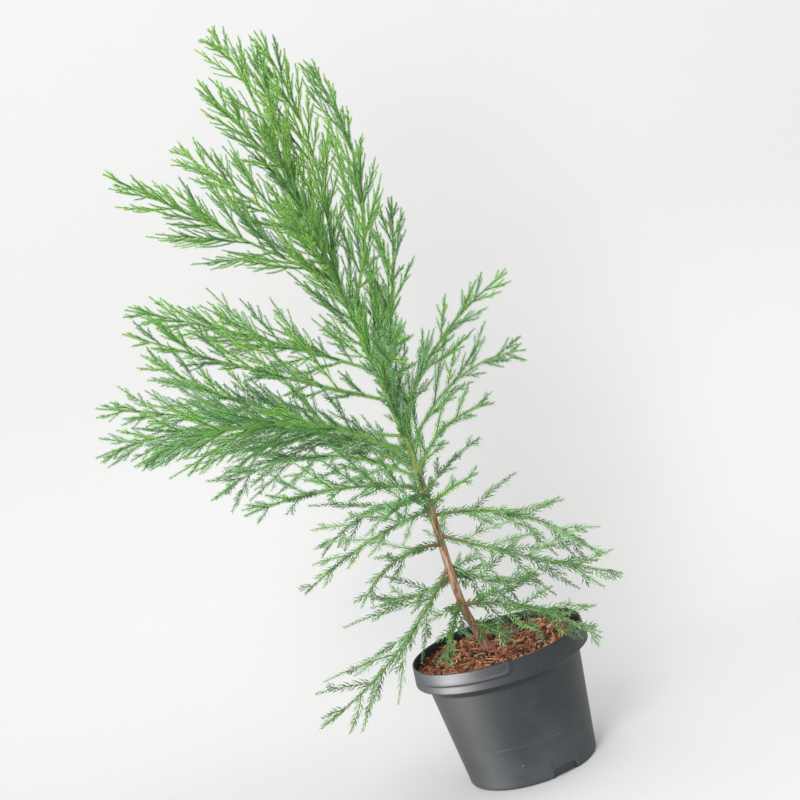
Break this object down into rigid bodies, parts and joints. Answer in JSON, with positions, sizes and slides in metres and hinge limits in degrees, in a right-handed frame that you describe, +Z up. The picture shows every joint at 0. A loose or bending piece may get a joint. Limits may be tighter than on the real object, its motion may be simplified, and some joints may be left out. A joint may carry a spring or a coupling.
{
  "type": "potted japanese cedar",
  "caption": "Young Japanese cedar with a slightly leaning trunk, sweeping boughs and sprays of awl-shaped needles, in a round tapered nursery pot filled with bark mulch.",
  "frame": {"origin": "centre of the pot's flat underside, where it stands on the ground", "axes": "+Z up along the pot's axis, -Y towards the viewer of the picture, +X to the viewer's right"},
  "size_m": [0.4947, 0.2952, 0.8559],
  "materials": {
    "pot": "satin moulded plastic",
    "mulch": "rough bark chips",
    "bark": "thin stringy bark, green higher up",
    "twig": "smooth young bark",
    "needles": "waxy needles"
  },
  "bodies": {
    "root": {"bough_left_1": "twig", "bough_left_10": "twig", "bough_left_11": "twig", "bough_left_12": "twig", "bough_left_13": "twig", "bough_left_14": "twig", "bough_left_15": "twig", "bough_left_6": "twig", "bough_left_7": "twig", "bough_left_8": "twig", "bough_left_9": "twig", "bough_right_10": "twig", "bough_right_11": "twig", "bough_right_12": "twig", "bough_right_3": "twig", "bough_right_4": "twig", "bough_right_8": "twig", "bough_right_9": "twig", "foliage_back_1": "needles", "foliage_back_2": "needles", "foliage_back_3": "needles", "foliage_back_4": "needles", "foliage_front_1": "needles", "foliage_front_2": "needles", "foliage_front_3": "needles", "foliage_front_4": "needles", "foliage_leader": "needles", "foliage_left_1": "needles", "foliage_left_10": "needles", "foliage_left_11": "needles", "foliage_left_12": "needles", "foliage_left_13": "needles", "foliage_left_14": "needles", "foliage_left_15": "needles", "foliage_left_16": "needles", "foliage_left_2": "needles", "foliage_left_3": "needles", "foliage_left_4": "needles", "foliage_left_5": "needles", "foliage_left_6": "needles", "foliage_left_7": "needles", "foliage_left_8": "needles", "foliage_left_9": "needles", "foliage_low_1": "needles", "foliage_right_1": "needles", "foliage_right_10": "needles", "foliage_right_11": "needles", "foliage_right_12": "needles", "foliage_right_13": "needles", "foliage_right_2": "needles", "foliage_right_3": "needles", "foliage_right_4": "needles", "foliage_right_5": "needles", "foliage_right_6": "needles", "foliage_right_7": "needles", "foliage_right_8": "needles", "foliage_right_9": "needles", "mulch": "mulch", "pot": "pot", "trunk": "bark"}
  },
  "joints": []
}
